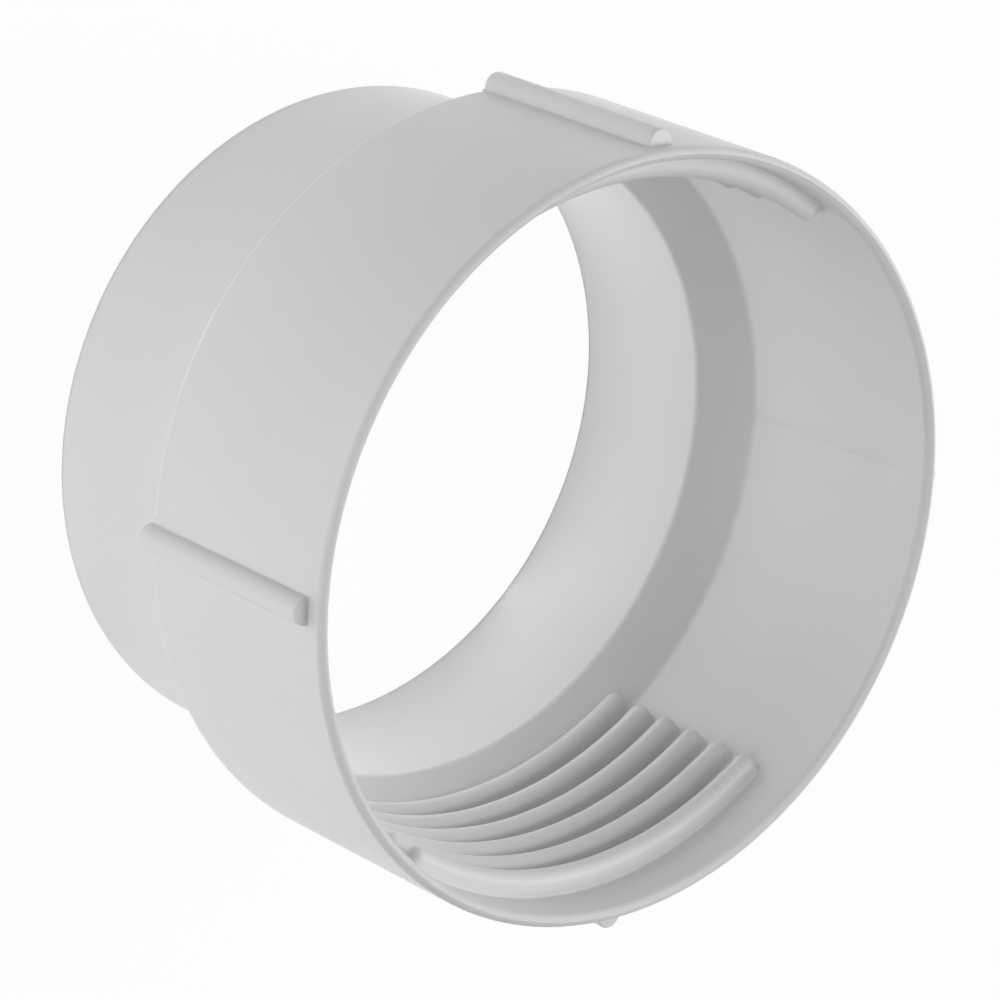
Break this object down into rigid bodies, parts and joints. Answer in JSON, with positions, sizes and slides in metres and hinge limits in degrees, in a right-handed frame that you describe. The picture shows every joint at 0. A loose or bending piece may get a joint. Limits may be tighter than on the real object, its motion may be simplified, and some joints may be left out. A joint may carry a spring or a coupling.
{
  "type": "air conditioner hose adapter",
  "caption": "Moulded adapter sleeve: an exhaust hose screws into the wide end's inner thread ribs, and the narrow plain end joins a smaller round port.",
  "frame": {"origin": "centre of the narrow sleeve's end face, on the sleeves' shared axis", "axes": "+Z along the axis from the narrow end to the wide mouth; +X through the middle of the thread ribs whose first rib lies deeper; +Y through an outer rib between the two groups"},
  "size_m": [0.1632, 0.1632, 0.097],
  "materials": {
    "body": "light grey moulded plastic, fine satin texture"
  },
  "bodies": {
    "root": {"hose_adapter": "body"}
  },
  "joints": []
}
